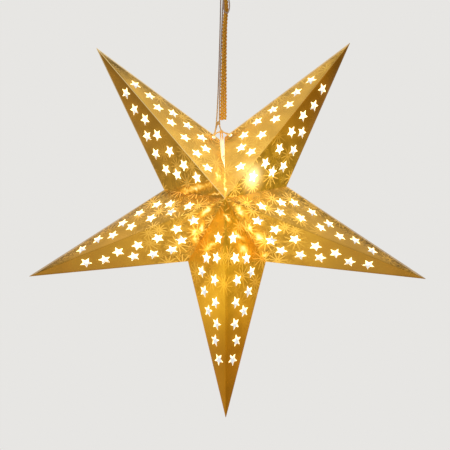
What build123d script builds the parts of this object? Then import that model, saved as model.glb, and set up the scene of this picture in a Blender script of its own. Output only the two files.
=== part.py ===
"""Five-pointed paper star lantern, hung from a doubled string, with a lamp inside.

Each of the five points is one folded sheet of foil card: two front and two back
facets, all pierced with the same pattern of small stars, and narrow flaps folded in
along the valleys. Four seams are glued flap to flap. The seam at the top stays open,
as the way in for the lamp, and its two corners are laced to the hanging string.

Frame, in millimetres: +Z up, the star's front faces -Y, and the origin is the top of
the hanging loop's eye, where a hook carries the lantern.
"""
from build123d import *
import math
import os

# The star: sizes from its hub, the point where all ten valley and ridge folds meet
STAR_R = 315.0
VALLEY_R = 101.0
HALF_DEPTH = 88.0
CARD_THICKNESS = 0.4
FLAP = 9.0
FLAP_END = 4.0
HUB_X = 4.0
HUB_DROP = 352.0
OVERRUN = 1.5

# The sheets: angle in degrees about the hub and length as a share, tip by tip and
# valley by valley, with the small unevenness of a hung paper star
TIP_ANGLES = {"upper_right": 53.1, "upper_left": 128.6, "left": 199.6, "bottom": 270.2, "right": 340.2}
TIP_SHARES = {"upper_right": 1.011, "upper_left": 1.001, "left": 0.979, "bottom": 1.005, "right": 1.007}
VALLEY_ANGLES = {"top_right": 90.5, "top_left": 94.4, "left": 163.7, "low_left": 235.8,
                 "low_right": 306.6, "right": 379.2}
VALLEY_SHARES = {"top_right": 1.078, "top_left": 1.048, "left": 0.96, "low_left": 0.99,
                 "low_right": 1.028, "right": 0.985}
POINT_VALLEYS = {"upper_right": ("right", "top_right"), "upper_left": ("top_left", "left"),
                 "left": ("left", "low_left"), "bottom": ("low_left", "low_right"),
                 "right": ("low_right", "right")}

# Star cut-outs: share from hub to tip, share from hub to valley, turn in degrees
CUT_R = 9.8
CUT_IN_R = 4.5
CUT_RAYS = 5
CUT_PLACE_SHARES = [(0.69, 0.165), (0.575, 0.26), (0.512, 0.21), (0.405, 0.24), (0.388, 0.44),
                    (0.295, 0.265), (0.265, 0.555), (0.205, 0.225), (0.155, 0.62), (0.13, 0.49),
                    (0.124, 0.19)]
CUT_TURNS = [0, 45, 54, 54, 45, 54, 54, 54, 54, 36, 36]

# Lace holes by the open seam's corners: distance along the top edge, and below it
LACE_HOLE_R = 2.6
LACE_ALONG = 8.2
LACE_BELOW = 4.2

# String: its diameter, each knot's radius as a share of that, and the routes and knots.
# A place's height is measured from the frame's origin where it is below zero, and up
# from the hub where it is above zero, so that the lamp and laces move with the star
STRING_D = 2.1
ARC_SHARE = 0.45
KNOT_SHARES = {"top_knot": 2.857, "middle_knot": 1.714, "lace_knot": 1.429, "lace_hitch": 1.12}
KNOT_PLACES = {"top_knot": (0.6, 0.0, -22.0), "middle_knot": (-6.9, 0.0, 130.5),
               "lace_knot": (-1.8, -1.0, 117.0), "lace_hitch": (-12.0, -6.9, 111.8)}
LOOP_ROUTE = [(-1.4, 0.0, -21.0), (-8.6, 0.0, -9.0), (-5.6, 0.0, 1.05), (5.6, 0.0, 1.05),
              (8.6, 0.0, -9.0), (1.6, 0.0, -21.0)]
LEFT_ROUTE = [(-2.6, 0.0, -24.0), (-3.0, 0.0, -60.0), (-7.95, 0.0, 131.5), (-13.0, -8.2, 108.4),
              (-13.2, 8.2, 108.2), (-8.2, 1.6, 129.0)]
RIGHT_ROUTE = [(1.2, 0.0, -24.0), (-0.75, 0.0, -60.0), (-5.7, 0.0, 131.5), (-1.9, -1.4, 116.4),
               (12.2, -8.0, 111.7), (12.0, 8.0, 111.5), (-0.6, 0.8, 117.8)]
LACE_ROUTE = [(-2.2, -2.0, 116.8), (-6.6, -6.6, 115.0), (-12.0, -6.9, 111.8)]
TIE_ROUTE = [(-3.2, -1.2, 115.4), (-1.9, -0.7, 96.0), (-1.34, -0.28, 76.05), (2.54, 4.28, 76.05),
             (1.6, 1.6, 96.0), (-0.4, 0.2, 115.6)]
TAIL_ROUTE = [(0.6, -4.4, -23.5), (1.6, -8.0, -36.0), (2.6, -8.2, -50.0), (9.0, -7.4, -51.6),
              (11.4, -3.4, -38.4), (9.4, -0.4, -25.0), (4.6, 0.2, -19.6)]

# Plaited cord: width, thickness, its route, and how far it has turned at each place
BRAID_W = 10.6
BRAID_T = 3.4
BRAID_ROUTE = [(4.4, 0.0, -26.0), (6.4, 0.0, -36.0), (4.0, 0.0, -60.0), (3.0, 0.0, -92.0),
               (2.5, 0.0, -123.0), (2.1, 0.0, -148.0), (1.8, 0.0, -176.0), (1.5, 0.0, -201.0),
               (1.3, 0.0, -216.0)]
BRAID_TURNS = [0, 0, 2, 12, 24, 40, 64, 84, 90]
BRAID_SIDES = 12

# Lamp: shares of X, Y and Z in the direction from its eye to its globe, and its sizes
AIM_SHARES = (0.610, -0.517, -0.600)
EYE_R = 3.6
EYE_WIRE_R = 1.2
EYE_SLACK = 0.3
HOLDER_LENGTH = 33.0
HOLDER_R = 12.4
HOLDER_WALL = 1.5
CROWN_STEP = 1.2
CROWN_SLOPE = 2.4
ROOF = 6.0
INLET_R = 3.1
INLET_EDGE = 1.2
BLOCK_LENGTH = 4.0
FIT_GAP = 0.1
SHELL_R = 7.6
SHELL_WALL = 0.4
SHELL_LENGTH = 15.0
CONTACT_R = 2.4
CONTACT_LENGTH = 1.2
CAP_R = 7.0
CAP_TIP_R = 4.2
CAP_TIP = 3.0
CAP_LENGTH = 22.0
NECK_R = 9.0
NECK_GAP = 0.8
GLOBE_R = 20.0


def polar(angle, radius, y=0.0):
    """A point about the hub, measured in the plane of the star."""
    turn = math.radians(angle)
    return Vector(HUB_X + radius * math.cos(turn), y, radius * math.sin(turn) - HUB_DROP)


def polyhedron(tip, side_a, side_b, front, back):
    """The closed body of one point: four facets, and two flat sides along its seams."""
    sides = [(tip, side_a, front), (tip, front, side_b), (tip, back, side_a),
             (tip, side_b, back), (front, side_a, back), (front, back, side_b)]
    return Solid(Shell([Face(Wire.make_polygon(points, close=True)) for points in sides]))


def inset_of(tip, side_a, side_b, front):
    """How far the inner face's tip lies from the outer tip, for an even thickness."""
    normals = []
    for side in (side_a, side_b):
        normal = (front - tip).cross(side - tip).normalized()
        normals.append(normal if normal.Y < 0 else normal * -1)
    (ax, az), (bx, bz) = [(normal.X, normal.Z) for normal in normals]
    scale = CARD_THICKNESS / (ax * bz - az * bx)
    return Vector((az - bz) * scale, 0, (bx - ax) * scale)


def flap(hub, valley, inward, middle):
    """One glue flap: a strip with cut corners, folded in along a valley."""
    along = (valley - hub).normalized()
    across = (middle - hub - along * (middle - hub).dot(along)).normalized()
    start = hub + along * FLAP_END
    end = valley - along * FLAP_END
    corners = [start, end, end + (across - along) * FLAP, start + (across + along) * FLAP]
    outline = Wire.make_polygon(corners, close=True)
    return Solid.extrude(Face(outline), inward * CARD_THICKNESS)


def star_cutter(hub, tip, valley, place, turn):
    """A five-rayed punch through one facet, turned in the facet's own plane."""
    along = (tip - hub).normalized()
    reach = valley - hub
    across = (reach - along * reach.dot(along)).normalized()
    centre = hub + (tip - hub) * place[0] + reach * place[1]
    points = []
    for step in range(2 * CUT_RAYS):
        angle = math.radians(turn + step * 180 / CUT_RAYS)
        radius = CUT_IN_R if step % 2 else CUT_R
        points.append(centre + along * (radius * math.cos(angle)) + across * (radius * math.sin(angle)))
    normal = along.cross(across)
    outline = Wire.make_polygon([point - normal * OVERRUN for point in points], close=True)
    return Solid.extrude(Face(outline), normal * 2 * OVERRUN)


def lace_cutter(tip, valley, side):
    """The punch for a lace hole, front to back through a corner of the open seam."""
    along = (tip - valley).normalized()
    below = Vector(along.Z * side, 0, -along.X * side)
    centre = valley + along * LACE_ALONG + below * LACE_BELOW
    punch = Cylinder(LACE_HOLE_R, HALF_DEPTH, rotation=(90, 0, 0))
    return Pos(centre.X, centre.Y, centre.Z) * punch


def paper_point(name):
    """One folded sheet: facets, flaps and all the holes in it."""
    tip = polar(TIP_ANGLES[name], STAR_R * TIP_SHARES[name])
    valleys = [polar(VALLEY_ANGLES[key], VALLEY_R * VALLEY_SHARES[key]) for key in POINT_VALLEYS[name]]
    front = Vector(HUB_X, -HALF_DEPTH, -HUB_DROP)
    back = Vector(HUB_X, HALF_DEPTH, -HUB_DROP)
    outside = polyhedron(tip, valleys[0], valleys[1], front, back)
    inner_tip = tip + inset_of(tip, valleys[0], valleys[1], front)
    reach = 1 + OVERRUN / VALLEY_R
    inside = polyhedron(*[inner_tip + (corner - tip) * reach for corner in (tip, *valleys, front, back)])
    sheet = outside - inside
    punches = []
    for valley in valleys:
        facing = (valley - front).cross(back - front).normalized()
        inward = facing if facing.dot(tip - front) > 0 else facing * -1
        for hub in (front, back):
            middle = (valley + front + back) * (1 / 3)
            sheet = sheet + flap(hub, valley, inward, middle)
            punches += [star_cutter(hub, tip, valley, place, turn)
                        for place, turn in zip(CUT_PLACE_SHARES, CUT_TURNS)]
    if name == "upper_right":
        punches.append(lace_cutter(tip, valleys[1], 1))
    if name == "upper_left":
        punches.append(lace_cutter(tip, valleys[0], -1))
    return sheet - punches


def hung(place):
    """A place on a string: up from the hub above zero, from the frame's origin below it."""
    x, y, height = place
    return Vector(x, y, height - HUB_DROP if height > 0 else height)


def round_path(points):
    """Straight runs joined by the largest tangent arcs that the runs allow."""
    radii = []
    for before, here, after in zip(points, points[1:], points[2:]):
        first = here - before
        second = after - here
        turn = math.radians(first.get_angle(second))
        radii.append(ARC_SHARE * min(first.length, second.length) / math.tan(turn / 2))
    return FilletPolyline(*points, radius=radii), radii


def string_along(name, points):
    """A plain round tube along a route, with its length and radii printed."""
    path, radii = round_path(points)
    start = Plane(origin=path @ 0, z_dir=path % 0)
    tube = sweep(start * Circle(STRING_D / 2), path=path)
    expected = math.pi * (STRING_D / 2) ** 2 * path.length
    print(f"{name}: length {path.length:.1f}, volume ratio {tube.volume / expected:.4f},"
          f" radii {[round(radius, 1) for radius in radii]}")
    return tube


def knots():
    """The tight knots that gather the strings, as plain round lumps."""
    return {name: Pos(hung(KNOT_PLACES[name])) * Sphere(share * STRING_D)
            for name, share in KNOT_SHARES.items()}


def braid_section(place, turn):
    """The flat cord's outline at one place: straight sides and round edges."""
    points = []
    for step in range(BRAID_SIDES):
        angle = 2 * math.pi * (step + 0.5) / BRAID_SIDES
        side = 1 if math.cos(angle) > 0 else -1
        points.append((side * (BRAID_W - BRAID_T) / 2 + BRAID_T / 2 * math.cos(angle),
                       BRAID_T / 2 * math.sin(angle)))
    plane = Plane(origin=place, z_dir=(0, 0, -1)).rotated((0, 0, 90 + turn))
    return plane * Polygon(*points, align=None)


def plaited_cord():
    """The hanging plait's plain body, twisting from edge-on to face-on."""
    sections = [braid_section(place, turn) for place, turn in zip(BRAID_ROUTE, BRAID_TURNS)]
    return loft(sections, ruled=True)


def lamp_frame():
    """The lamp's own frame: origin at the eye, which hangs on the tie's lowest run."""
    low, other = [hung(place) for place in TIE_ROUTE[2:4]]
    eye_middle = (low + other) / 2 - Vector(0, 0, EYE_R - EYE_WIRE_R - STRING_D / 2 - EYE_SLACK)
    upward = Vector(*AIM_SHARES) * -1
    level = Vector(0, 0, 1).cross(upward)
    return Plane(origin=eye_middle, x_dir=upward.cross(level), z_dir=upward)


def turned(points):
    """A solid of revolution about the lamp's axis from (radius, height) points."""
    return revolve(Plane.XZ * Polygon(*points, align=None), axis=Axis.Z)


def lamp_pieces():
    """The lamp holder, its contacts and the bulb, in the lamp's own frame."""
    top = -EYE_R - EYE_WIRE_R / 2
    mouth = top - HOLDER_LENGTH
    roof = top - ROOF
    bore_r = HOLDER_R - HOLDER_WALL
    inlet_offset = bore_r - INLET_R - INLET_EDGE
    outer = turned([(0, top), (HOLDER_R - CROWN_STEP, top), (HOLDER_R, top - CROWN_SLOPE),
                    (HOLDER_R, mouth), (0, mouth)])
    hollow = turned([(0, roof), (bore_r, roof), (bore_r, mouth - OVERRUN), (0, mouth - OVERRUN)])
    eye = Rot(90, 0, 0) * Torus(EYE_R, EYE_WIRE_R)
    inlet = Pos(0, inlet_offset, top) * Cylinder(INLET_R, 2 * ROOF + 2 * OVERRUN)
    holder = outer - hollow - inlet + eye
    block_floor = roof - BLOCK_LENGTH
    block = Pos(0, 0, roof - BLOCK_LENGTH / 2) * Cylinder(bore_r - FIT_GAP, BLOCK_LENGTH)
    block = block - Pos(0, inlet_offset, roof) * Cylinder(INLET_R, 2 * BLOCK_LENGTH + 2 * OVERRUN)
    shell_foot = block_floor - SHELL_LENGTH
    shell = turned([(SHELL_R - SHELL_WALL, block_floor), (SHELL_R, block_floor), (SHELL_R, shell_foot),
                    (SHELL_R - SHELL_WALL, shell_foot)])
    contact = Pos(0, 0, block_floor - CONTACT_LENGTH / 2) * Cylinder(CONTACT_R, CONTACT_LENGTH)
    cap_top = block_floor - CONTACT_LENGTH
    cap_foot = cap_top - CAP_LENGTH
    globe_top = cap_foot - NECK_GAP
    globe_centre = globe_top - math.sqrt(GLOBE_R ** 2 - NECK_R ** 2)
    cap = turned([(0, cap_top), (CAP_TIP_R, cap_top), (CAP_R, cap_top - CAP_TIP), (CAP_R, cap_foot),
                  (NECK_R, globe_top), (0, globe_top)])
    bulb = cap + Pos(0, 0, globe_centre) * Sphere(GLOBE_R)
    print(f"lamp: eye to globe centre {-globe_centre:.1f}")
    return {"lamp_holder": holder, "contact_block": block, "socket_shell": shell,
            "centre_contact": contact, "bulb": bulb}


def build():
    """Every node of the lantern, by name."""
    nodes = {f"point_{name}": paper_point(name) for name in TIP_ANGLES}
    cords = {"string_left": LEFT_ROUTE, "string_right": RIGHT_ROUTE, "cross_lace": LACE_ROUTE,
             "lamp_tie": TIE_ROUTE, "string_tail": TAIL_ROUTE}
    runs = {"hang_loop": [Vector(*place) for place in LOOP_ROUTE]}
    for name, route in cords.items():
        runs[name] = [hung(place) for place in route]
    lumps = knots()
    for name, points in runs.items():
        nodes[name] = string_along(name, points) - list(lumps.values())
    nodes["plaited_cord"] = plaited_cord() - lumps["top_knot"]
    nodes.update(lumps)
    for name, piece in lamp_pieces().items():
        nodes[name] = lamp_frame() * piece
    return nodes


os.makedirs("parts", exist_ok=True)
for node_name, node in build().items():
    export_step(node, f"parts/{node_name}.step")
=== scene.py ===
"""A folded foil-card star lantern with its lamp lit, hung from a doubled string."""
from math import atan2, cos, hypot, pi, radians, sin, sqrt
from types import SimpleNamespace

import bmesh
import bpy
from mathutils import Matrix, Vector


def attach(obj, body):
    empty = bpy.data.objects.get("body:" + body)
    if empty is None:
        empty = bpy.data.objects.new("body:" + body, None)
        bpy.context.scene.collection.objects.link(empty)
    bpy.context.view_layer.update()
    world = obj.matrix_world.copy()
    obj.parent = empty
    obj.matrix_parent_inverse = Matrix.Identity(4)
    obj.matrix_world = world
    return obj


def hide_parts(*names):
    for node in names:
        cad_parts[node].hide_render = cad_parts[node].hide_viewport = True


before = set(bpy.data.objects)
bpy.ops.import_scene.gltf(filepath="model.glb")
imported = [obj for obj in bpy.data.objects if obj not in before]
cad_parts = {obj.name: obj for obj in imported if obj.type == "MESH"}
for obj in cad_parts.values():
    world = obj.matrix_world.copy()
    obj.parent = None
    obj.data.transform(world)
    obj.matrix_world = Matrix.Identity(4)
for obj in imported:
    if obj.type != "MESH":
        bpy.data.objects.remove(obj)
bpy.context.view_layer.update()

MM = 0.001
BLACK = (0, 0, 0, 1)

# The star, in metres from its hub, where all ten folds meet
HUB = Vector((0.004, 0.0, -0.352))
STAR_R = 0.315
VALLEY_R = 0.101
HALF_DEPTH = 0.088
PAPER = 0.0004
FLAP = 0.009
FLAP_END = 0.004
FOLD_R = 0.0004
SHEET_CUTS = 20
SMOOTH_ANGLE = 32
# Each valley: its angle about the hub, and its share of the star's own radius
VALLEYS = {"top_right": (90.5, 1.078), "top_left": (94.4, 1.048), "left": (163.7, 0.96),
           "low_left": (235.8, 0.99), "low_right": (306.6, 1.028), "right": (379.2, 0.985)}
# The same for each point's tip, and the two valleys beside it
POINTS = {"upper_right": (53.1, 1.011, "right", "top_right"),
          "upper_left": (128.6, 1.001, "top_left", "left"), "left": (199.6, 0.979, "left", "low_left"),
          "bottom": (270.2, 1.005, "low_left", "low_right"), "right": (340.2, 1.007, "low_right", "right")}
# The thin pinched end of each tip, drawn out beyond the card's own corner
TIP_DRAWN = {"upper_right": 0.003, "upper_left": 0.0035, "left": 0.0075, "bottom": 0.003, "right": 0.007}
# The card's bow between its folds: how far, its rest level, its lumps, and how soon it starts
BOW = 0.006
BOW_REST = 0.35
BOW_SIZE = 0.075
BOW_START = 1.4
# The open seam at the top: as far as this share of its length from the hub it stays shut
SEAM_SHIFT = 0.0069
SEAM_SHUT = 0.50
SEAM_OPEN = 0.70
SEAM_SOFT = 0.16

# The gold of a point's two facings, in the order of its valleys, with the light and shade on each
# facing painted in: how bright it is painted, how pale (partly painted light, partly where its printed
# band shows), how much painted glow of the lamp it shows and how much more of it midway; how much
# brighter it is painted at the outer edge than at the fold, midway along the point and at its tip;
# and how deep its bursts are pressed
FACINGS = {
    "upper_right": ((0.55, 0.05, 0.87, 0, -0.12, 0.48, 0, 1),
                    (1.12, 0.9, 0.62, 0, 0, 0.04, -0.08, 0.3)),
    "upper_left": ((1, 0.95, 0.62, 0, -0.5, 0.02, -0.56, 0.3),
                   (0.76, 0.45, 0.42, 0, 0.2, 0.28, 0.04, 0.5)),
    "left": ((0.72, 0.7, 0.45, 0, -0.22, 0.12, -0.26, 1),
             (1.18, 0.5, 0.68, 0.15, 0, 0.1, -0.05, 1)),
    "bottom": ((1.02, 0.1, 0.7, 1.45, 0.18, 0.37, 0.25, 0.42),
               (0.82, 0, 0.76, 0.45, 0.18, 0.31, 0.05, 0.55)),
    "right": ((1.2, 0.52, 0.92, 0.15, 0, 0.06, -0.06, 1),
              (0.74, 0.75, 0.72, 0, -0.26, 0, -0.18, 0.9))}
# Where the painted brightening and glow midway along a point peak and how far they reach, and where the
# painted change at the tip starts and how far it runs
MIDWAY, MIDWAY_REACH = 0.52, 0.33
TIP_FROM, TIP_RUN = 0.72, 0.12
# How much each point's front, back and outer folds are painted as catching the light; below zero they are
# painted darker
CREASE_SHINE = {"upper_right": 0.12, "upper_left": 0.9, "left": -0.30, "bottom": -0.12, "right": -0.30}
# What each corner of the card carries
FACING_LOOKS = ("tone", "pale", "glow", "shine", "pressed")
DEEP_GOLD = (0.83, 0.32, 0.010, 1)
PALE_GOLD = (0.83, 0.49, 0.095, 1)
RIM_GOLD = (0.84, 0.66, 0.44, 1)
# The painted shade and the painted highlight along the folds
PAINTED_FOLD_SHADE = (0.30, 0.14, 0.01, 1)
PAINTED_FOLD_HIGHLIGHT = (0.95, 0.72, 0.34, 1)
MOST_SHADE = 1.28
# How pale a facing is where its outer band begins to show, and where it shows in full
PALE_FROM = (0.56, 0.72)
# The embossed bursts: their spacing, how many rays, and how wide a ray is, in millimetres
LARGE_BURSTS = {"Cell": 37.0, "Rays": 11.0, "Line": 1.6}
SMALL_BURSTS = {"Cell": 19.0, "Rays": 7.0, "Line": 1.1}
# Painted highlight streaks where the crumpled foil near the hub catches the light: x, z, half
# length and half width in millimetres, slant in degrees, strength
FOIL_GLEAMS = [
    (-22.1, -366.3, 12, 2.7, 42, 0.9), (-30.9, -390.6, 7.5, 3, 69, 0.82), (-41.3, -399.4, 11, 4.2, -80, 0.85),
    (26.9, -367.5, 11, 3.2, -44, 0.9), (42, -390.6, 6.7, 2, -57, 0.9), (55.8, -403.9, 9.5, 5.5, -54, 0.88),
    (7, -379, 7.4, 1.5, -48, 0.9), (24.1, -402.1, 9, 3, -32, 0.95), (31.3, -421.3, 8.5, 6.2, -31, 0.76),
    (-16.6, -417, 8.5, 2.5, 24, 0.84), (-39.6, -330.6, 18, 3.6, 4, 0.85), (-10.8, -343, 8.5, 1.3, -2, 0.8),
    (17.6, -347.1, 8.7, 1.2, 9, 0.8), (-7.2, -312, 10, 3, -88, 0.9), (-3, -314.2, 5.9, 1.5, -87, 0.8),
    (3.7, -327, 19, 1.4, -85, 1), (64.1, -425.9, 3.6, 2, -5, 0.9)]
# The same for the painted shade between them, dark streaks along the foil's creases
FOIL_PAINTED_SHADES = [
    (-9.3, -346.1, 8.2, 1.9, -18, 0.5), (-36, -339.2, 9.5, 1.7, -7, 0.4), (23.3, -356.8, 9.9, 1.9, -22, 0.45),
    (17.6, -368.6, 7.7, 2.3, -62, 0.4), (-14.4, -374.2, 10, 2.2, -111, 0.35), (36.4, -401.8, 17, 2, -62, 0.5),
    (-33.2, -403.1, 15, 1.9, -122, 0.45), (42.1, -338.4, 22.6, 2, 15, 0.25), (3.4, -363, 11.8, 3.2, -83, 0.3),
    (-65.9, -334.9, 17.8, 1.7, -10, 0.3), (4.8, -390.5, 17.9, 1.7, -90, 0.2), (14, -246.5, 13, 8, 30, 0.35),
    (-16.5, -255, 11, 5, -50, 0.25), (3, -364.5, 16, 10, 0, 0.36), (-34.5, -414, 22, 6, -122, 0.3),
    (37, -410, 22, 6, -60, 0.32)]
STREAK_SHAKE = 0.010
# The gleams' red, green and blue: the power of their strength, and how bright at the most
GLEAM_CURVES = ((0.9, 1.1), (1.5, 0.95), (3.4, 0.68))

# The lamp's light painted on the card as a glow: its middle, and how far from it the warmth ends and is full
WARM_CENTRE = (0.004, 0.0, -0.362)
WARM_DEPTH_SHARE = 0.35
WARM_END = 0.23
WARM_FULL = 0.04
# A painted highlight where the bulb shines brightest: its middle and its radius
HOT_SPOT = (0.0452, -0.0604, -0.3150)
HOT_SPOT_R = 0.015
# How far the painted glow about the star cut-outs spreads, in millimetres
CUT_GLOW_SPREAD = 4.4

# Star cut-outs: share from hub to tip, share from hub to valley, turn in degrees
CUT_R = 0.0098
CUT_IN_R = 0.0045
CUT_RAYS = 5
CUT_DEPTH = 0.006
CUT_PLACE_SHARES = [(0.69, 0.165), (0.575, 0.26), (0.512, 0.21), (0.405, 0.24), (0.388, 0.44), (0.295, 0.265),
                    (0.265, 0.555), (0.205, 0.225), (0.155, 0.62), (0.13, 0.49), (0.124, 0.19)]
CUT_TURNS = [0, 45, 54, 54, 45, 54, 54, 54, 54, 36, 36]
LACE_HOLE_R = 0.0026
LACE_ALONG = 0.0082
LACE_BELOW = 0.0042


def metres(*route):
    """Places written in millimetres."""
    return [tuple(round(part / 1000, 8) for part in place) for place in route]


# The cords: thickness, strands and pitch of the twist in metres, and routes in millimetres
STRANDS = 3
STRAND_SIDES = 7
STRING_D = 0.0021
STRING_STEP = 0.0006
STRAND_SHARE = 0.52
TWIST_PITCH = 0.0065
LOOP_ROUTE = metres((-1.4, 0, -21), (-8.6, 0, -9), (-5.6, 0, 1.05), (5.6, 0, 1.05), (8.6, 0, -9),
                    (1.6, 0, -21))
LEFT_ROUTE = metres((-2.6, 0, -24), (-3, 0, -60), (-7.95, 0, -220.5), (-13, -8.2, -243.6),
                    (-13.2, 8.2, -243.8), (-8.2, 1.6, -223))
RIGHT_ROUTE = metres((1.2, 0, -24), (-0.75, 0, -60), (-5.7, 0, -220.5), (-1.9, -1.4, -235.6),
                     (12.2, -8, -240.3), (12, 8, -240.5), (-0.6, 0.8, -234.2))
LACE_ROUTE = metres((-2.2, -2, -235.2), (-6.6, -6.6, -237), (-12, -6.9, -240.2))
TIE_ROUTE = metres((-3.2, -1.2, -236.6), (-1.9, -0.7, -256), (-1.34, -0.28, -275.95),
                   (2.54, 4.28, -275.95), (1.6, 1.6, -256), (-0.4, 0.2, -236.4))
TAIL_ROUTE = metres((0.6, -4.4, -23.5), (1.6, -8, -36), (2.6, -8.2, -50), (9, -7.4, -51.6),
                    (11.4, -3.4, -38.4), (9.4, -0.4, -25), (4.6, 0.2, -19.6))
BRAID_ROUTE = metres((4.4, 0, -26), (6.4, 0, -36), (4, 0, -60), (3, 0, -92), (2.5, 0, -123),
                     (2.1, 0, -148), (1.8, 0, -176), (1.5, 0, -201), (1.3, 0, -216))
BRAID_TURNS = [24, 26, 29, 35, 39, 50, 66, 82, 90]
BRAID_W = 0.0106
BRAID_T = 0.0034
BRAID_STEP = 0.0005
BRAID_PITCH = 0.0162
BRAID_FULLNESS = 1.05
YARN_SHARE = 0.56
YARN_PITCH = 0.009
# Each knot's place and radius, in millimetres
KNOTS = {"top_knot": (0.6, 0, -22, 6), "middle_knot": (-6.9, 0, -221.5, 3.6),
         "lace_knot": (-1.8, -1, -235, 3), "lace_hitch": (-12, -6.9, -240.2, 2.3)}
KNOT_STRING = 0.42
KNOT_SIDES = 9
KNOT_STEPS = 150
KNOT_LEAN = 70

# The photograph's view: camera, and where its target lies in the frame, in pixels
IMAGE_SIZE = 450
TARGET = Vector((0.005, 0.0, -0.3557))
TARGET_PX = (225.7, 209.8)
CAMERA_DISTANCE = 3.15
CAMERA_RISE = -8.5
PX_SIZE = 0.0015195
SENSOR = 36.0
# The plain surroundings
FLOOR_Z = -1.3
FLOOR_SIZE = 90
FLOOR_SEEN, FLOOR_MIRRORED = 0.56, 0.13
ROOM_COLOUR = (0.80, 0.79, 0.77, 1)
ROOM_LIGHT = 0.5
# Each soft light: its name, place, size and power
SOFT_LIGHTS = (("key", (-0.9, -1.9, 0.9), 1.4, 14.0), ("fill", (1.6, -1.6, -0.2), 1.6, 6.0))


def select_only(*pieces):
    """Nothing is selected but these pieces, the last of them active."""
    if bpy.context.object and bpy.context.object.mode != "OBJECT":
        bpy.ops.object.mode_set(mode="OBJECT")
    bpy.ops.object.select_all(action="DESELECT")
    for piece in pieces:
        piece.select_set(True)
        bpy.context.view_layer.objects.active = piece


def named(name):
    """The active object, under its own name."""
    piece = bpy.context.object
    piece.name = name
    piece.data.name = name
    return piece


def pick(piece, mode, chosen):
    """Selects the vertices or edges for which chosen says so, in edit mode."""
    bpy.ops.mesh.select_mode(type=mode)
    bpy.ops.mesh.select_all(action="DESELECT")
    shape = bmesh.from_edit_mesh(piece.data)
    for item in shape.verts if mode == "VERT" else shape.edges:
        if chosen(item):
            item.select_set(True)
    shape.select_flush_mode()
    bmesh.update_edit_mesh(piece.data)


def pick_all():
    """Selects the whole shape, in edit mode."""
    bpy.ops.mesh.select_all(action="SELECT")


def face_outward():
    """Turns all the normals of the whole shape outward, in edit mode."""
    pick_all()
    bpy.ops.mesh.normals_make_consistent(inside=False)


def edit(on=True):
    """Goes to edit mode, or back to object mode."""
    bpy.ops.object.mode_set(mode="EDIT" if on else "OBJECT")


def apply_modifier(piece, kind, **settings):
    """Adds one modifier with its settings and applies it."""
    select_only(piece)
    modifier = piece.modifiers.new(kind.lower(), kind)
    for key, value in settings.items():
        setattr(modifier, key, value)
    bpy.ops.object.modifier_apply(modifier=modifier.name)


def fill(tree, item, values):
    """Gives a node's inputs their values, or links them to sockets."""
    for key, value in values.items():
        if isinstance(value, bpy.types.NodeSocket):
            tree.links.new(value, item.inputs[key])
        else:
            item.inputs[key].default_value = value


def node(tree, kind, values=None, **settings):
    """A shader node with its inputs' values and links."""
    item = tree.nodes.new(kind)
    for key, value in settings.items():
        setattr(item, key, value)
    fill(tree, item, values or {})
    return item


def maths(tree, operation, *values):
    """One sum of up to three values or sockets."""
    return node(tree, "ShaderNodeMath", dict(enumerate(values)), operation=operation).outputs[0]


def times_plus(tree, value, factor, more):
    """A value times a factor, plus one more."""
    return maths(tree, "MULTIPLY_ADD", value, factor, more)


def times(tree, total, *factors):
    """Values or sockets multiplied in turn."""
    for factor in factors:
        total = maths(tree, "MULTIPLY", total, factor)
    return total


def vector_maths(tree, operation, *values):
    """One sum of vectors, which comes out as a vector or a value."""
    item = node(tree, "ShaderNodeVectorMath", dict(enumerate(values)), operation=operation)
    return item.outputs["Value" if operation in ("LENGTH", "DISTANCE", "DOT_PRODUCT") else "Vector"]


def parts_of(tree, vector):
    """The three parts of a vector."""
    return list(node(tree, "ShaderNodeSeparateXYZ", {0: vector}).outputs)


def object_place(tree):
    """The place in the object's own coordinates."""
    return node(tree, "ShaderNodeTexCoord").outputs["Object"]


def noise(tree, place, scale, detail, distortion=0.0, output=0):
    """Soft random patches about a place."""
    item = node(tree, "ShaderNodeTexNoise",
                {"Vector": place, "Scale": scale, "Detail": detail, "Distortion": distortion})
    return item.outputs[output]


def ramp(tree, value, start, end, low=0.0, high=1.0, smooth=True):
    """Carries a value from start..end to low..high, with soft ends."""
    kind = "SMOOTHSTEP" if smooth else "LINEAR"
    item = node(tree, "ShaderNodeMapRange", {0: value, 1: start, 2: end, 3: low, 4: high},
                interpolation_type=kind)
    return item.outputs[0]


def mix(tree, share, first, second, blend="MIX"):
    """Two colours mixed by a share from 0 to 1."""
    item = node(tree, "ShaderNodeMix", {0: share, 6: first, 7: second}, data_type="RGBA", blend_type=blend)
    return item.outputs[2]


def group(name, inputs, outputs):
    """An empty node group and its two ends; a Place is a vector, all else a value."""
    tree = bpy.data.node_groups.new(name, "ShaderNodeTree")
    for in_out, sockets in (("INPUT", inputs), ("OUTPUT", outputs)):
        for socket in sockets:
            kind = "NodeSocketVector" if socket == "Place" else "NodeSocketFloat"
            tree.interface.new_socket(name=socket, in_out=in_out, socket_type=kind)
    return tree, tree.nodes.new("NodeGroupInput"), tree.nodes.new("NodeGroupOutput")


def use(tree, shared, values=None):
    """A shared group placed in a material with its own values."""
    return node(tree, "ShaderNodeGroup", values, node_tree=shared)


def material(name, **plain):
    """A material with one Principled BSDF, and plain values on its own sockets."""
    made = bpy.data.materials.new(name)
    made.use_nodes = True
    shader = made.node_tree.nodes["Principled BSDF"]
    for key, value in plain.items():
        shader.inputs[key.replace("_", " ")].default_value = value
    return made, made.node_tree, shader


def bumped(tree, height, distance, strength=1.0):
    """A normal from a height, which counts for a distance in metres."""
    values = {"Height": height, "Distance": distance, "Strength": strength}
    return node(tree, "ShaderNodeBump", values).outputs[0]


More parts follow.
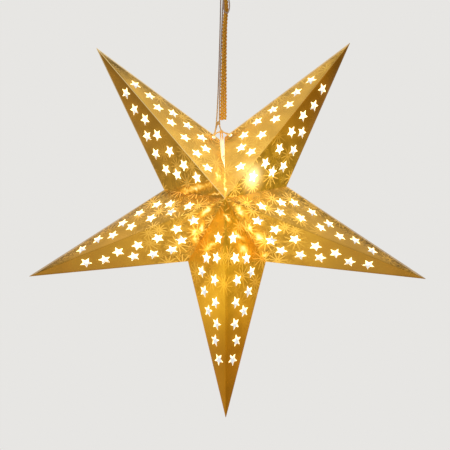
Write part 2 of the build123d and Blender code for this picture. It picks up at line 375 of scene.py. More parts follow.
def polar(radius, angle, share):
    """A place about the hub in the plane of the star, at a share of a radius."""
    turn = radians(angle)
    return HUB + Vector((radius * share * cos(turn), 0, radius * share * sin(turn)))


def corners_of(name):
    """A point's tip, its two valley corners, and the front and back of the hub."""
    angle, share, *sides = POINTS[name]
    valleys = [polar(VALLEY_R, *VALLEYS[side]) for side in sides]
    reach = Vector((0, HALF_DEPTH, 0))
    return polar(STAR_R, angle, share), valleys, HUB - reach, HUB + reach


# A mean facet's own measure, from hub towards tip and square to that, in millimetres
mean_tip = hypot(STAR_R, HALF_DEPTH) / MM
mean_dot = (STAR_R * VALLEY_R * cos(pi / len(POINTS)) + HALF_DEPTH ** 2) / MM ** 2
mean_valley_along = mean_dot / mean_tip
mean_valley_across = sqrt((VALLEY_R ** 2 + HALF_DEPTH ** 2) / MM ** 2 - mean_valley_along ** 2)


def facet_measure_group():
    """Turns a facet's shares, its UV map, into millimetres along and across it."""
    tree, _, end = group("facet measure", (), ("Place", "Tip Share", "Valley Share"))
    tip_share, valley_share, _ = parts_of(tree, node(tree, "ShaderNodeUVMap", uv_map="facet").outputs[0])
    along = times_plus(tree, valley_share, mean_valley_along, times(tree, tip_share, mean_tip))
    across = times(tree, valley_share, mean_valley_across)
    place = node(tree, "ShaderNodeCombineXYZ", {0: along, 1: across}).outputs[0]
    fill(tree, end, {"Place": place, "Tip Share": tip_share, "Valley Share": valley_share})
    return tree


def starburst_group():
    """Embossed bursts about scattered centres: thin raised rays with dips on their flanks, which the gold
    also shows as painted highlights on the rays and painted shade on the flanks.
    """
    tree, start, end = group("starbursts", ("Place", "Cell", "Rays", "Line"), ("Lines",))
    place, cell, rays, width = list(start.outputs)[:4]
    cells = node(tree, "ShaderNodeTexVoronoi",
                 {"Vector": place, "Scale": maths(tree, "DIVIDE", 1.0, cell), "Randomness": 0.7},
                 voronoi_dimensions="2D", feature="F1")
    away = vector_maths(tree, "SUBTRACT", place, cells.outputs["Position"])
    x, y, _ = parts_of(tree, away)
    radius = vector_maths(tree, "LENGTH", away)
    chances = node(tree, "ShaderNodeSeparateColor", {0: cells.outputs["Color"]}).outputs
    bend = times(tree, radius, times_plus(tree, chances[1], 0.06, -0.03))
    phase = maths(tree, "ADD", times(tree, chances[0], 6.28), bend)
    half_rays = times(tree, rays, 0.5)
    angle = maths(tree, "ARCTAN2", y, x)
    swing = maths(tree, "SINE", times_plus(tree, angle, half_rays, phase))
    off_line = maths(tree, "DIVIDE", times(tree, maths(tree, "ABSOLUTE", swing), radius), half_rays)
    line = ramp(tree, off_line, width, 0.0)
    flank = ramp(tree, off_line, times(tree, width, 2.2), width)
    line = times_plus(tree, maths(tree, "SUBTRACT", flank, line), -0.34, line)
    reach = times(tree, cell, times_plus(tree, chances[2], 0.22, 0.36))
    inside = ramp(tree, radius, reach, times(tree, reach, 0.8))
    core = ramp(tree, radius, 0.6, 1.8)
    fill(tree, end, {"Lines": times(tree, line, inside, core)})
    return tree


def cut_glow_group():
    """How near a place on a facet is to its star cut-outs, from 0 to 1."""
    tree, start, end = group("cut-out glow", ("Place", "Spread"), ("Glow",))
    nearest = None
    for tip_share, valley_share in CUT_PLACE_SHARES:
        along = tip_share * mean_tip + valley_share * mean_valley_along
        centre = (along, valley_share * mean_valley_across, 0)
        gap = vector_maths(tree, "DISTANCE", start.outputs["Place"], centre)
        nearest = gap if nearest is None else maths(tree, "MINIMUM", nearest, gap)
    fade = maths(tree, "DIVIDE", maths(tree, "SUBTRACT", nearest, 0.5 * CUT_R / MM), start.outputs["Spread"])
    fade = maths(tree, "MAXIMUM", fade, 0.0)
    fill(tree, end, {"Glow": maths(tree, "EXPONENT", times(tree, fade, fade, -1.0))})
    return tree


def lamp_glow_group():
    """How much of the lamp's light is painted on a place on the card, and its painted hot spot."""
    tree, _, end = group("lamp warmth", (), ("Warmth", "Hot Spot"))
    here = object_place(tree)
    flat = vector_maths(tree, "MULTIPLY", here, (1, WARM_DEPTH_SHARE, 1))
    gap = vector_maths(tree, "DISTANCE", flat, WARM_CENTRE)
    spot = vector_maths(tree, "DISTANCE", here, HOT_SPOT)
    hot = maths(tree, "EXPONENT", times(tree, spot, spot, -1 / HOT_SPOT_R ** 2))
    fill(tree, end, {"Warmth": ramp(tree, gap, WARM_END, WARM_FULL), "Hot Spot": hot})
    return tree


def streak_group(name, rows):
    """Long soft streaks over the crumpled foil near the hub, from 0 to 1, for its painted highlights and its
    painted shade.
    """
    tree, _, end = group(name, (), ("Streaks",))
    here = object_place(tree)
    wobble = vector_maths(tree, "SUBTRACT", noise(tree, here, 110.0, 2.0, output="Color"), (0.5, 0.5, 0.5))
    shaken = vector_maths(tree, "MULTIPLY_ADD", wobble, (STREAK_SHAKE, 0, STREAK_SHAKE), here)
    total = None
    for *sizes, slant, strength in rows:
        x, z, half_length, half_width = [size * MM for size in sizes]
        away = vector_maths(tree, "SUBTRACT", shaken, (x, 0, z))
        x, z = cos(radians(slant)), sin(radians(slant))
        along = vector_maths(tree, "DOT_PRODUCT", away, (x / half_length, 0, z / half_length))
        across = vector_maths(tree, "DOT_PRODUCT", away, (-z / half_width, 0, x / half_width))
        squared = times_plus(tree, along, along, times(tree, across, across))
        streak = times(tree, maths(tree, "EXPONENT", times(tree, squared, -0.8)), strength)
        total = streak if total is None else maths(tree, "MAXIMUM", total, streak)
    fill(tree, end, {"Streaks": total})
    return tree


facet_measure = facet_measure_group()
starbursts = starburst_group()
cut_glow = cut_glow_group()
lamp_warmth = lamp_glow_group()
foil_gleams = streak_group("foil gleams", FOIL_GLEAMS)
painted_foil_shades = streak_group("painted foil shades", FOIL_PAINTED_SHADES)


def foil_places(tree):
    """Where a place on the foil is, and how its facing looks there."""
    measure, warmth = use(tree, facet_measure).outputs, use(tree, lamp_warmth).outputs
    at = SimpleNamespace(here=object_place(tree), place=measure["Place"], warmth=warmth["Warmth"],
                         valley_share=measure["Valley Share"], hot_spot=warmth["Hot Spot"])
    for look in FACING_LOOKS:
        setattr(at, look, node(tree, "ShaderNodeAttribute", attribute_name=look).outputs["Fac"])
    at.outer = maths(tree, "ADD", measure["Tip Share"], at.valley_share)
    at.patches = noise(tree, at.here, 26.0, 3.0)
    at.crumple = noise(tree, at.here, 60.0, 1.5, 1.5)
    return at


def foil_relief(tree, at):
    """The pressed bursts, the crumple, and the painted highlight and shade that both leave on the gold, with
    its print and uneven patches.
    """
    # Each facing has its own part of the print
    shift = {0: times(tree, at.pale, 700.0), 1: times(tree, at.pressed, 900.0)}
    printed = vector_maths(tree, "ADD", at.place, node(tree, "ShaderNodeCombineXYZ", shift).outputs[0])
    large, small = [use(tree, starbursts, {"Place": printed, **sizes}).outputs[0]
                    for sizes in (LARGE_BURSTS, SMALL_BURSTS)]
    lines = maths(tree, "MAXIMUM", large, times(tree, small, 0.35))
    middle_part = times(tree, ramp(tree, at.warmth, 0.30, 0.75), at.pressed)
    edge_part = times(tree, ramp(tree, at.outer, 0.78, 0.92), ramp(tree, at.pale, 0.55, 0.9, 0.1, 0.7))
    region = maths(tree, "MAXIMUM", middle_part, edge_part)
    bursts = times(tree, lines, region)
    crumpled = times(tree, ramp(tree, at.crumple, 0.35, 0.65, -1.0, 1.0), region)
    # Painted highlight on the bursts, painted shade between them, and painted light and shade on the crumple
    lift = times_plus(tree, bursts, 1.15, ramp(tree, region, 0.0, 1.0, 1.0, 0.86, smooth=False))
    lift = times_plus(tree, crumpled, 0.15, lift)
    # The curled ornament in the band along the outer edges
    band = times(tree, ramp(tree, at.outer, 0.80, 0.92), ramp(tree, at.pale, *PALE_FROM, 0.0, at.pressed))
    curls = ramp(tree, noise(tree, at.here, 130.0, 2.0, 2.5), 0.36, 0.64, -1.0, 1.0)
    lift = times_plus(tree, times_plus(tree, curls, 0.34, -0.16), band, lift)
    # Painted shade in the foil's creases darkens the gold
    dark = use(tree, painted_foil_shades).outputs[0]
    lift = times(tree, lift, times_plus(tree, dark, -0.75, 1.0))
    return bursts, crumpled, times(tree, lift, ramp(tree, at.patches, 0.3, 0.7, 0.91, 1.09))


def foil_colour(tree, at, lift, painted_fold_light_and_shade, bright_fold):
    """The gold of each facing, with its painted light and shade, its pale rim, and painted highlight and
    shade along its folds.
    """
    gold = mix(tree, at.pale, DEEP_GOLD, PALE_GOLD)
    shade = maths(tree, "MINIMUM", times(tree, at.tone, lift), MOST_SHADE)
    shaded = node(tree, "ShaderNodeVectorMath", {0: gold, "Scale": shade}, operation="SCALE").outputs[0]
    pale_rim = times(tree, ramp(tree, at.outer, 0.978, 0.986), ramp(tree, at.pale, *PALE_FROM, 0.0, 0.6))
    shaded = mix(tree, pale_rim, shaded, RIM_GOLD)
    return mix(tree, painted_fold_light_and_shade, shaded, mix(tree, bright_fold, PAINTED_FOLD_SHADE, PAINTED_FOLD_HIGHLIGHT))


def foil_light(tree, at, bursts, lift, painted_fold_light_and_shade, bright_fold):
    """The lamp's light painted on the foil as a glow, from all its sources added up: about the cut-outs, near
    the hub, the hot spot, the folds, the bursts and the gleams.
    """
    cut = use(tree, cut_glow, {"Place": at.place, "Spread": CUT_GLOW_SPREAD}).outputs[0]
    gleam = times(tree, use(tree, foil_gleams).outputs[0], ramp(tree, at.crumple, 0.36, 0.62, 0.72, 1.12))
    gleam = node(tree, "ShaderNodeCombineColor",
                 {number: times(tree, maths(tree, "POWER", gleam, power), top)
                  for number, (power, top) in enumerate(GLEAM_CURVES)}).outputs[0]
    sources = [(times(tree, cut, times_plus(tree, at.warmth, 0.22, 0.05)), (1.0, 0.60, 0.10, 1)),
               (times(tree, at.warmth, lift, at.glow, 0.40),
                mix(tree, at.pale, (1.0, 0.60, 0.030, 1), (1.0, 0.53, 0.045, 1))),
               (at.hot_spot, (1.9, 1.40, 0.60, 1)),
               (times(tree, painted_fold_light_and_shade, times(tree, bright_fold, 0.22)), (1.0, 0.75, 0.35, 1)),
               (times(tree, bursts, at.warmth, 0.30), (1.0, 0.68, 0.24, 1))]
    for share, colour in sources:
        gleam = mix(tree, 1.0, mix(tree, share, BLACK, colour), gleam, "ADD")
    return gleam


def foil_material():
    """Gold foil: embossed bursts, soft waves, painted highlight and shade along its folds, and the lamp's
    glow painted on.
    """
    made, tree, shader = material("gold foil", Metallic=1.0, Emission_Strength=1.0)
    at = foil_places(tree)
    bursts, crumpled, lift = foil_relief(tree, at)
    # Painted along the front, back and outer folds: a highlight where shine is above zero, shade where it is
    # below
    ridge = ramp(tree, maths(tree, "ABSOLUTE", at.valley_share), 0.013, 0.006)
    rim = times(tree, ramp(tree, at.outer, 0.988, 0.994), 0.7)
    painted_fold_light_and_shade = times(tree, maths(tree, "MAXIMUM", ridge, rim), maths(tree, "ABSOLUTE", at.shine))
    bright_fold = ramp(tree, at.shine, -0.01, 0.01)
    height = times(tree, bursts, 0.30)
    for part, share in ((crumpled, 0.25), (noise(tree, at.here, 900.0, 2.0), 0.005),
                        (noise(tree, at.here, 11.0, 1.5), 2.2)):
        height = times_plus(tree, part, share, height)
    rough = times_plus(tree, bursts, -0.08, ramp(tree, at.patches, 0.25, 0.75, 0.26, 0.38))
    fill(tree, shader, {"Base Color": foil_colour(tree, at, lift, painted_fold_light_and_shade, bright_fold), "Roughness": rough,
                        "Normal": bumped(tree, height, MM, 0.9),
                        "Emission Color": foil_light(tree, at, bursts, lift, painted_fold_light_and_shade, bright_fold)})
    return made


def card_inside_material():
    """White card inside the lantern, with the lamp's light painted on it as a glow."""
    made, tree, shader = material("lit white card", Roughness=0.8, Emission_Strength=1.0)
    fibres = noise(tree, object_place(tree), 240.0, 4.0)
    warmth = use(tree, lamp_warmth).outputs["Warmth"]
    fill(tree, shader, {"Base Color": mix(tree, fibres, (0.82, 0.77, 0.66, 1), (0.90, 0.86, 0.77, 1)),
                        "Emission Color": mix(tree, warmth, (0.92, 0.72, 0.40, 1), (1.25, 1.08, 0.72, 1)),
                        "Normal": bumped(tree, fibres, 0.05 * MM)})
    return made


def card_edge_material():
    """The card's cut edge, with the lamp's light painted on it as a warm glow all over."""
    made, tree, shader = material("cut card edge", Roughness=0.7, Emission_Strength=1.0)
    fibres = noise(tree, object_place(tree), 700.0, 3.0)
    fill(tree, shader, {"Base Color": mix(tree, fibres, (0.80, 0.66, 0.40, 1), (0.95, 0.84, 0.60, 1)),
                        "Emission Color": mix(tree, fibres, (0.75, 0.48, 0.13, 1), (1.0, 0.72, 0.28, 1))})
    return made


foil = foil_material()
card_inside = card_inside_material()
card_edge = card_edge_material()


def star_punch():
    """One five-rayed punch: a ten-sided disc with every other corner drawn in."""
    bpy.ops.mesh.primitive_circle_add(vertices=2 * CUT_RAYS, radius=CUT_R, fill_type="NGON")
    punch = named("star_punch")
    edit()
    step = pi / CUT_RAYS
    first = punch.data.vertices[0].co.copy()
    offset = atan2(first.y, first.x)
    pick(punch, "VERT", lambda v: round((atan2(v.co.y, v.co.x) - offset) / step) % 2 == 1)
    inward = CUT_IN_R / CUT_R
    bpy.ops.transform.resize(value=(inward, inward, 1), center_override=(0, 0, 0))
    pick_all()
    bpy.ops.mesh.extrude_region_move(TRANSFORM_OT_translate={"value": (0, 0, CUT_DEPTH)})
    pick_all()
    bpy.ops.transform.translate(value=(0, 0, -CUT_DEPTH / 2))
    bpy.ops.transform.rotate(value=offset, orient_axis="Z", center_override=(0, 0, 0))
    face_outward()
    edit(False)
    punch.data.materials.append(card_edge)
    return punch


def punches_for(name, punch):
    """Copies of the punch at every star cut-out of one point, joined."""
    tip, valleys, front, back = corners_of(name)
    copies = []
    for valley in valleys:
        for hub in (front, back):
            along = (tip - hub).normalized()
            reach = valley - hub
            across = (reach - along * reach.dot(along)).normalized()
            out = along.cross(across)
            for place, turn in zip(CUT_PLACE_SHARES, CUT_TURNS):
                centre = hub + (tip - hub) * place[0] + reach * place[1]
                axes = Matrix((along, across, out)).transposed().to_4x4()
                copy = punch.copy()
                copy.data = punch.data.copy()
                bpy.context.collection.objects.link(copy)
                turned = Matrix.Rotation(radians(turn), 4, "Z")
                copy.matrix_world = Matrix.Translation(centre) @ axes @ turned
                copies.append(copy)
    select_only(*copies)
    bpy.ops.object.join()
    joined = bpy.context.object
    bpy.ops.object.transform_apply(location=True, rotation=True, scale=True)
    edit()
    face_outward()
    edit(False)
    return joined


def lace_punch(tip, valley, side):
    """The round punch of a lace hole by the open seam."""
    along = (tip - valley).normalized()
    below = Vector((along.z * side, 0, -along.x * side))
    centre = valley + along * LACE_ALONG + below * LACE_BELOW
    bpy.ops.mesh.primitive_cylinder_add(vertices=24, radius=LACE_HOLE_R, depth=HALF_DEPTH, location=centre,
                                        rotation=(pi / 2, 0, 0))
    punch = named("lace_punch")
    punch.data.materials.append(card_edge)
    return punch


def move_corner(piece, index, target):
    """Selects one corner and carries it to its place."""
    shape = bmesh.from_edit_mesh(piece.data)
    shape.verts.ensure_lookup_table()
    shift = target - shape.verts[index].co
    pick(piece, "VERT", lambda v: v.index == index)
    bpy.ops.transform.translate(value=shift)


def fold_flap(piece, hub, valley, middle):
    """Draws a glue flap out of one seam edge, with its ends cut back."""
    length = (valley - hub).length
    along = (valley - hub).normalized()
    across = (middle - hub - along * (middle - hub).dot(along)).normalized()
    centre = (hub + valley) / 2
    pick(piece, "EDGE", lambda e: ((e.verts[0].co + e.verts[1].co) / 2 - centre).length < MM)
    bpy.ops.mesh.extrude_region_move(TRANSFORM_OT_translate={"value": across * FLAP})
    shrink = 1 - 2 * (FLAP + FLAP_END) / length
    bpy.ops.transform.resize(value=(shrink, shrink, shrink), center_override=centre + across * FLAP)


def on_line(co, start, end):
    """True where a place lies on the straight line between two others."""
    run = end - start
    share = (co - start).dot(run) / run.length_squared
    return -0.01 < share < 1.01 and (co - start - run * share).length < 0.1 * MM


def shares_on(co, tip, valley):
    """A place's shares from hub to tip and from hub to one given valley."""
    x, z = co.x - HUB.x, co.z - HUB.z
    tip_x, tip_z = tip.x - HUB.x, tip.z - HUB.z
    valley_x, valley_z = valley.x - HUB.x, valley.z - HUB.z
    det = tip_x * valley_z - tip_z * valley_x
    return (x * valley_z - z * valley_x) / det, (tip_x * z - tip_z * x) / det


def shares_at(co, tip, valleys):
    """A place's side, and its shares from hub to tip and from hub to valley."""
    rows = [(side, *shares_on(co, tip, valley)) for side, valley in enumerate(valleys)]
    return max(rows, key=lambda row: row[2])


def card_middle(piece, tip, valleys):
    """Weights the card's free middle, away from every fold."""
    middle = piece.vertex_groups.new(name="middle")
    for vertex in piece.data.vertices:
        _, a, b = shares_at(vertex.co, tip, valleys)
        free = 27 * max(0, a) * max(0, b) * max(0, 1 - a - b)
        middle.add([vertex.index], min(1.0, BOW_START * free), "REPLACE")


def clipped(value):
    """A value kept from 0 to 1."""
    return min(1.0, max(0.0, value))


def soft_step(value):
    """A value kept from 0 to 1, with soft ends."""
    share = clipped(value)
    return share * share * (3 - 2 * share)


def close_seam(piece, tip, valleys):
    """Brings one card's edge over to its neighbour's where the top seam is shut."""
    seam = piece.vertex_groups.new(name="seam")
    for vertex in piece.data.vertices:
        side, a, b = shares_at(vertex.co, tip, valleys)
        if side:
            continue
        shut = 1 - soft_step((b - SEAM_SHUT) / (SEAM_OPEN - SEAM_SHUT))
        near = soft_step(1 - a / SEAM_SOFT)
        seam.add([vertex.index], max(0.0, b * shut * near), "REPLACE")
    apply_modifier(piece, "DISPLACE", vertex_group="seam", direction="X", strength=SEAM_SHIFT,
                   mid_level=0.0)
    piece.vertex_groups.clear()


# Slow soft lumps that bow the card
card_waves = bpy.data.textures.new("card waves", "CLOUDS")
card_waves.noise_scale = BOW_SIZE
card_waves.noise_depth = 1


def cone_to_point(name, tip, valleys, front, back):
    """A cone with its corners carried to a point's own, its flaps and its folds."""
    bpy.ops.mesh.primitive_cone_add(vertices=4, radius1=HALF_DEPTH, depth=STAR_R, end_fill_type="NOTHING")
    piece = named(f"card_{name}")
    apex = max(piece.data.vertices, key=lambda v: v.co.z).index
    ring = [vertex.index for vertex in piece.data.vertices if vertex.index != apex]
    edit()
    for index, target in zip([apex] + ring, [tip, front, valleys[0], back, valleys[1]]):
        move_corner(piece, index, target)
    face_outward()
    for valley in valleys:
        for hub in (front, back):
            fold_flap(piece, hub, valley, (valley + front + back) / 3)
    pick_all()
    bpy.ops.mesh.subdivide(number_cuts=SHEET_CUTS)
    folds = [(tip, corner) for corner in (front, back, *valleys)]
    pick(piece, "EDGE", lambda e: any(on_line(e.verts[0].co, *fold) and on_line(e.verts[1].co, *fold)
                                      for fold in folds))
    bpy.ops.mesh.bevel(offset=FOLD_R, segments=2, affect="EDGES")
    edit(False)
    return piece


def paper_point(name, punch):
    """One point of the star: a folded, bowed and punched sheet of foil card."""
    tip, valleys, front, back = corners_of(name)
    drawn = tip + (tip - HUB).normalized() * TIP_DRAWN[name]
    piece = cone_to_point(name, drawn, valleys, front, back)
    if name == "upper_left":
        close_seam(piece, tip, valleys)
    card_middle(piece, tip, valleys)
    apply_modifier(piece, "DISPLACE", texture=card_waves, texture_coords="LOCAL", vertex_group="middle",
                   strength=BOW, mid_level=BOW_REST)
    piece.vertex_groups.clear()
    for slot_material in (foil, card_inside, card_edge):
        piece.data.materials.append(slot_material)
    apply_modifier(piece, "SOLIDIFY", thickness=PAPER, offset=-1.0, material_offset=1, material_offset_rim=2)
    cutters = [punches_for(name, punch)]
    if name == "upper_right":
        cutters.append(lace_punch(tip, valleys[1], 1))
    if name == "upper_left":
        cutters.append(lace_punch(tip, valleys[0], -1))
    for cutter in cutters:
        apply_modifier(piece, "BOOLEAN", operation="DIFFERENCE", solver="EXACT", object=cutter,
                       material_mode="TRANSFER")
        bpy.data.objects.remove(cutter)
    select_only(piece)
    bpy.ops.object.shade_smooth_by_angle(angle=radians(SMOOTH_ANGLE))
    write_facet_map(piece, name, tip, valleys)
    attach(piece, "root")
    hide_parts(f"point_{name}")


def write_facet_map(piece, name, tip, valleys):
    """Writes each corner's shares as a UV map, and how its gold looks, painted light and shade included, as
    attributes.
    """
    mesh = piece.data
    for old in list(mesh.uv_layers):
        mesh.uv_layers.remove(old)
    mesh.uv_layers.new(name="facet")
    for look in FACING_LOOKS:
        mesh.attributes.new(look, "FLOAT", "CORNER")
    layer = mesh.uv_layers["facet"]
    written = {look: mesh.attributes[look].data for look in FACING_LOOKS}
    for face in mesh.polygons:
        side = shares_at(face.center, tip, valleys)[0]
        for loop in face.loop_indices:
            a, b = shares_on(mesh.vertices[mesh.loops[loop].vertex_index].co, tip, valleys[side])
            layer.data[loop].uv = (a, b)
            for look, value in facing_looks(name, side, a, b).items():
                written[look][loop].value = value


def facing_looks(name, side, a, b):
    """How the gold looks at a place on one facing of a point, with its painted light and shade."""
    tone, pale, glow, beam, slope, middle, end, pressed = FACINGS[name][side]
    across = clipped(b / max(0.02, 1 - a)) - 0.5
    midway = max(0.0, 1 - ((a - MIDWAY) / MIDWAY_REACH) ** 2)
    # Painted light and shade: brighter or darker across the facing, midway along it and at its tip
    tone *= 1 + slope * (0.6 + 0.9 * clipped(a)) * across
    tone *= 1 + middle * midway + end * clipped((a - TIP_FROM) / TIP_RUN)
    return {"tone": tone, "pale": pale, "glow": glow + beam * midway, "shine": CREASE_SHINE[name],
            "pressed": pressed}


def route_line(name, route):
    """The points along a cord's route, a NURBS curve."""
    curve = bpy.data.curves.new(name, "CURVE")
    curve.dimensions = "3D"
    spline = curve.splines.new("NURBS")
    spline.points.add(len(route) - 1)
    for point, place in zip(spline.points, route):
        point.co = (*place, 1)
    spline.order_u = 3
    spline.use_endpoint_u = True
    curve.resolution_u = 32
    holder = bpy.data.objects.new(name, curve)
    bpy.context.collection.objects.link(holder)
    bpy.context.view_layer.update()
    mesh = bpy.data.meshes.new_from_object(holder)
    points = [vertex.co.copy() for vertex in mesh.vertices]
    bpy.data.objects.remove(holder)
    bpy.data.meshes.remove(mesh)
    return points


def lengths_along(points):
    """How far along the line each of its points is."""
    lengths = [0.0]
    for before, after in zip(points, points[1:]):
        lengths.append(lengths[-1] + (after - before).length)
    return lengths


def even_points(points, step):
    """The same line again, with its points an even step apart, and its length."""
    lengths = lengths_along(points)
    count = max(2, round(lengths[-1] / step))
    even = []
    here = 0
    for number in range(count + 1):
        wanted = lengths[-1] * number / count
        while here < len(lengths) - 2 and lengths[here + 1] < wanted:
            here += 1
        share = (wanted - lengths[here]) / max(1e-9, lengths[here + 1] - lengths[here])
        even.append(points[here].lerp(points[here + 1], min(1.0, share)))
    return even, lengths[-1]


def frames_along(points, first_side=(0.2, 0.9, 0.1)):
    """A side and an up direction at every point, with no twist of their own."""
    side = Vector(first_side)
    frames = []
    for before, after in zip(points[:1] + points[:-1], points[1:] + points[-1:]):
        ahead = (after - before).normalized()
        side = (side - ahead * side.dot(ahead)).normalized()
        frames.append((side.copy(), ahead.cross(side)))
    return frames


def spun_line(points, length, offset, pitch, start):
    """A line that winds round another, from a start given in turns."""
    line = []
    for number, (point, (side, up)) in enumerate(zip(points, frames_along(points))):
        turn = 2 * pi * (number * length / (len(points) - 1) / pitch + start)
        line.append(point + side * (offset * cos(turn)) + up * (offset * sin(turn)))
    return line


def add_tube(shape, points, radius, sides, uv_layer):
    """Adds a closed round tube along the points, with a UV map in turns and centimetres."""
    travelled = lengths_along(points)
    turns = [2 * pi * number / sides for number in range(sides)]
    circle = [(radius * cos(turn), radius * sin(turn)) for turn in turns]
    rings = [[shape.verts.new(point + side * x + up * y) for x, y in circle]
             for point, (side, up) in zip(points, frames_along(points, (0.31, 0.87, 0.38)))]
    for number, (ring, following) in enumerate(zip(rings, rings[1:])):
        for corner in range(sides):
            after = (corner + 1) % sides
            face = shape.faces.new((ring[corner], ring[after], following[after], following[corner]))
            face.smooth = True
            for loop, (right, on) in zip(face.loops, ((0, 0), (1, 0), (1, 1), (0, 1))):
                loop[uv_layer].uv = ((corner + right) / sides, travelled[number + on] * 100)
    shape.faces.new(list(reversed(rings[0])))
    shape.faces.new(rings[-1])


def tubes_piece(name, lines, radius, sides, shown, replaced):
    """A named piece of round tubes along lines, which hangs with the lantern."""
    shape = bmesh.new()
    uv_layer = shape.loops.layers.uv.new("along")
    for line in lines:
        add_tube(shape, line, radius, sides, uv_layer)
    mesh = bpy.data.meshes.new(name)
    bmesh.ops.recalc_face_normals(shape, faces=shape.faces)
    shape.to_mesh(mesh)
    shape.free()
    piece = bpy.data.objects.new(name, mesh)
    bpy.context.collection.objects.link(piece)
    mesh.materials.append(shown)
    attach(piece, "root")
    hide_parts(replaced)
    return piece


def twisted_string(name, route, replaced):
    """A string of twisted strands along its route, with its line's points and length."""
    points, length = even_points(route_line(name, route), STRING_STEP)
    strand_r = STRING_D / 2 * STRAND_SHARE
    offset = STRING_D / 2 - strand_r
    lines = [spun_line(points, length, offset, TWIST_PITCH, strand / STRANDS)
             for strand in range(STRANDS)]
    piece = tubes_piece(name, lines, strand_r, STRAND_SIDES, string_cotton, replaced)
    return piece, points, length


def tied_knot(name):
    """A tight overhand knot, its string run round as a three-lobed loop."""
    *centre, radius = metres(KNOTS[name])[0]
    size = (radius - STRING_D / 2) / 3.0
    lean = Matrix.Rotation(radians(KNOT_LEAN), 3, "X")
    line = []
    for number in range(KNOT_STEPS + 1):
        turn = 2 * pi * number / KNOT_STEPS
        place = Vector((sin(turn) + 2 * sin(2 * turn), cos(turn) - 2 * cos(2 * turn),
                        -sin(3 * turn)))
        line.append(Vector(centre) + lean @ (place * size))
    string_r = min(STRING_D / 2, radius * KNOT_STRING)
    return tubes_piece(f"tied_{name}", [line], string_r, KNOT_SIDES, string_cotton, name)


def yarn_material(name, dark, light, lit, pitch, sheen):
    """Spun yarn: fine slanting plies, uneven colour, and the lantern's light painted on near it."""
    made, tree, shader = material(name, Roughness=0.85, Sheen_Weight=sheen, Emission_Strength=1.0)
    turned, along, _ = parts_of(tree, node(tree, "ShaderNodeUVMap", uv_map="along").outputs[0])
    slant = maths(tree, "ADD", turned, times(tree, along, pitch))
    plies = maths(tree, "SINE", times(tree, slant, 2 * pi * 3))
    ply = ramp(tree, plies, -1.0, 1.0, 0.0, 1.0, smooth=False)
    here = object_place(tree)
    share = times_plus(tree, ply, 0.6, times(tree, noise(tree, here, 900.0, 4.0), 0.5))
    # The lantern's light painted on lower down: a glow and a lit colour that grow nearer the lantern,
    # brightest inside it
    height = parts_of(tree, here)[2]
    spill = times(tree, ramp(tree, height, -0.10, -0.21, 0.0, 0.10), share)
    spill = maths(tree, "ADD", spill, ramp(tree, height, -0.226, -0.238, 0.0, 0.26))
    inside = ramp(tree, height, -0.241, -0.252)
    glow = times_plus(tree, inside, 0.6, spill)
    glow_colour = mix(tree, inside, (1.0, 0.50, 0.07, 1), (1.0, 0.85, 0.5, 1))
    colour = mix(tree, ramp(tree, height, -0.15, -0.235), mix(tree, share, dark, light), lit)
    fill(tree, shader, {"Base Color": colour, "Emission Color": mix(tree, glow, BLACK, glow_colour),
                        "Normal": bumped(tree, share, 0.12 * MM)})
    return made


string_cotton = yarn_material("twisted cotton", (0.30, 0.19, 0.14, 1), (0.60, 0.43, 0.33, 1),
                              (0.80, 0.50, 0.17, 1), 4.0, 0.3)
plait_yarn = yarn_material("amber plait yarn", (0.50, 0.17, 0.004, 1), (0.95, 0.50, 0.030, 1),
                           (0.95, 0.48, 0.040, 1), 5.0, 0.05)


def plait():
    """A three-strand plait that turns as it hangs, each strand of three spun yarns."""
    points, length = even_points(route_line("hanging_plait", BRAID_ROUTE), BRAID_STEP)
    strand_r = BRAID_T / 2 * BRAID_FULLNESS
    yarn_r = strand_r * YARN_SHARE
    swing = BRAID_W / 2 - strand_r
    lift = BRAID_T / 4
    lines = []
    for strand in range(STRANDS):
        line = []
        for number, point in enumerate(points):
            turn = -radians(turn_at(point.z) + 90)
            side = Vector((cos(turn), sin(turn), 0))
            up = Vector((-sin(turn), cos(turn), 0))
            phase = 2 * pi * (number * length / (len(points) - 1) / BRAID_PITCH + strand / STRANDS)
            line.append(point + side * (swing * sin(phase)) + up * (lift * sin(2 * phase)))
        lines += [spun_line(line, length, strand_r - yarn_r, YARN_PITCH, yarn / STRANDS)
                  for yarn in range(STRANDS)]
    piece = tubes_piece("hanging_plait", lines, yarn_r, STRAND_SIDES, plait_yarn, "plaited_cord")
    return piece, points, length


def turn_at(height):
    """How far the plait has turned at a height, in degrees."""
    heights = [place[2] for place in BRAID_ROUTE]
    for high, low, start, end in zip(heights, heights[1:], BRAID_TURNS, BRAID_TURNS[1:]):
        if height >= low:
            return start + (end - start) * clipped((high - height) / (high - low))
    return BRAID_TURNS[-1]


def simple_finish(name, colour, second, scale, roughness, **plain):
    """A finish of one colour with soft uneven patches."""
    made, tree, shader = material(name, **plain)
    patches = noise(tree, object_place(tree), scale, 4.0)
    fill(tree, shader, {"Base Color": mix(tree, patches, colour, second),
                        "Roughness": ramp(tree, patches, 0.3, 0.7, roughness * 0.85, roughness * 1.15),
                        "Normal": bumped(tree, patches, 0.05 * MM)})
    return made


def paint(name, nodes, *look, **plain):
    """Gives CAD nodes a better material."""
    made = simple_finish(name, *look, **plain)
    for cad_node in nodes:
        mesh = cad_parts[cad_node].data
        for number in range(len(mesh.materials)):
            mesh.materials[number] = made


def rays_seen(tree):
    """1 where the camera sees a surface, and 1 where a shiny one mirrors it."""
    path = node(tree, "ShaderNodeLightPath").outputs
    return maths(tree, "MAXIMUM", path["Is Camera Ray"], path["Is Transmission Ray"]), path["Is Glossy Ray"]


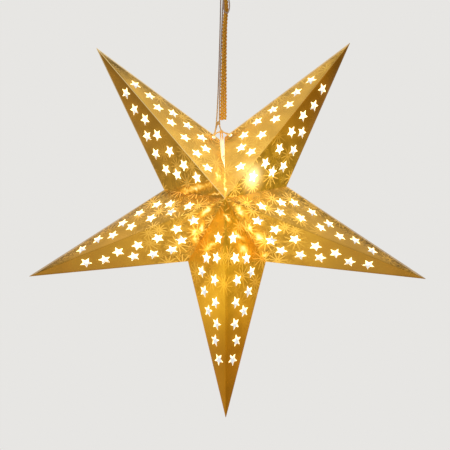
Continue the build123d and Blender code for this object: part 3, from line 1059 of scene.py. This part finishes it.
def pale_floor():
    """A wide plain floor, pale to the camera."""
    bpy.ops.mesh.primitive_plane_add(size=FLOOR_SIZE, location=(0, 0, FLOOR_Z))
    floor = named("floor")
    bpy.ops.object.transform_apply(location=True)
    pale = simple_finish("pale floor", (0.50, 0.49, 0.475, 1), (0.52, 0.51, 0.495, 1), 3.0, 0.8,
                         Emission_Color=(1.0, 0.985, 0.96, 1))
    tree = pale.node_tree
    seen, mirrored = rays_seen(tree)
    glow = times_plus(tree, seen, FLOOR_SEEN, times(tree, mirrored, FLOOR_MIRRORED))
    fill(tree, tree.nodes["Principled BSDF"], {"Emission Strength": glow})
    floor.data.materials.append(pale)


def pale_room():
    """A pale world, which the foil mirrors brighter from above and behind."""
    world = bpy.data.worlds.new("studio")
    bpy.context.scene.world = world
    world.use_nodes = True
    tree = world.node_tree
    _, back, up = parts_of(tree, node(tree, "ShaderNodeTexCoord").outputs["Generated"])
    room = times(tree, ramp(tree, back, -0.9, 0.9, 0.42, 1.0), ramp(tree, up, -0.8, 0.8, 0.75, 1.15))
    seen, mirrored = rays_seen(tree)
    level = maths(tree, "MAXIMUM", times(tree, mirrored, room), seen)
    level = maths(tree, "MAXIMUM", level, times(tree, maths(tree, "SUBTRACT", 1.0, level), ROOM_LIGHT))
    fill(tree, tree.nodes["Background"], {"Color": ROOM_COLOUR, "Strength": level})


def aimed(name, data, place):
    """A lamp or a camera in its place, turned to the lantern."""
    item = bpy.data.objects.new(name, data)
    item.location = place
    item.rotation_euler = (TARGET - item.location).to_track_quat("-Z", "Y").to_euler()
    bpy.context.collection.objects.link(item)
    return item


def studio():
    """Plain pale floor, soft light and the photograph's camera."""
    pale_floor()
    pale_room()
    for name, place, size, energy in SOFT_LIGHTS:
        light = bpy.data.lights.new(name, "AREA")
        light.size = size
        light.energy = energy
        aimed(name, light, place)
    camera = bpy.data.cameras.new("camera")
    camera.sensor_width = SENSOR
    camera.lens = SENSOR * CAMERA_DISTANCE / (IMAGE_SIZE * PX_SIZE)
    camera.shift_x = (IMAGE_SIZE / 2 - TARGET_PX[0]) / IMAGE_SIZE
    camera.shift_y = (TARGET_PX[1] - IMAGE_SIZE / 2) / IMAGE_SIZE
    camera.clip_start = 0.05
    rise = radians(CAMERA_RISE)
    place = TARGET + Vector((0, -cos(rise), sin(rise))) * CAMERA_DISTANCE
    bpy.context.scene.camera = aimed("camera", camera, place)
    bpy.context.scene.view_settings.view_transform = "Standard"


def hang_everything():
    """The strings with their knots, and the plait."""
    knots = {name: tied_knot(name) for name in KNOTS}
    lace, _, _ = twisted_string("lace_across", LACE_ROUTE, "cross_lace")
    rows = [("eye_string", LOOP_ROUTE, "hang_loop", "hanging", [knots["top_knot"]]),
            ("left_string", LEFT_ROUTE, "string_left", "taut",
             [knots["middle_knot"], knots["lace_hitch"], lace]),
            ("right_string", RIGHT_ROUTE, "string_right", "taut", [knots["lace_knot"]]),
            ("tie_string", TIE_ROUTE, "lamp_tie", "taut", []),
            ("tail_string", TAIL_ROUTE, "string_tail", "hanging", [])]
    for name, route, replaced, lay, riding in rows:
        piece, points, length = twisted_string(name, route, replaced)
    piece, points, length = plait()


studio()
hang_everything()
punch = star_punch()
for point_name in POINTS:
    paper_point(point_name, punch)
bpy.data.objects.remove(punch)
paint("white holder plastic", ["lamp_holder"], (0.82, 0.80, 0.76, 1), (0.86, 0.84, 0.80, 1), 60.0, 0.45)
paint("white porcelain", ["contact_block"], (0.84, 0.83, 0.80, 1), (0.88, 0.87, 0.84, 1), 90.0, 0.55)
paint("contact brass", ["socket_shell", "centre_contact"], (0.62, 0.42, 0.16, 1), (0.70, 0.50, 0.22, 1),
      120.0, 0.3, Metallic=1.0)
paint("lit frosted glass", ["bulb"], (0.95, 0.90, 0.80, 1), (0.97, 0.93, 0.84, 1), 40.0, 0.5,
      Emission_Color=(1.0, 0.82, 0.52, 1), Emission_Strength=5.0)
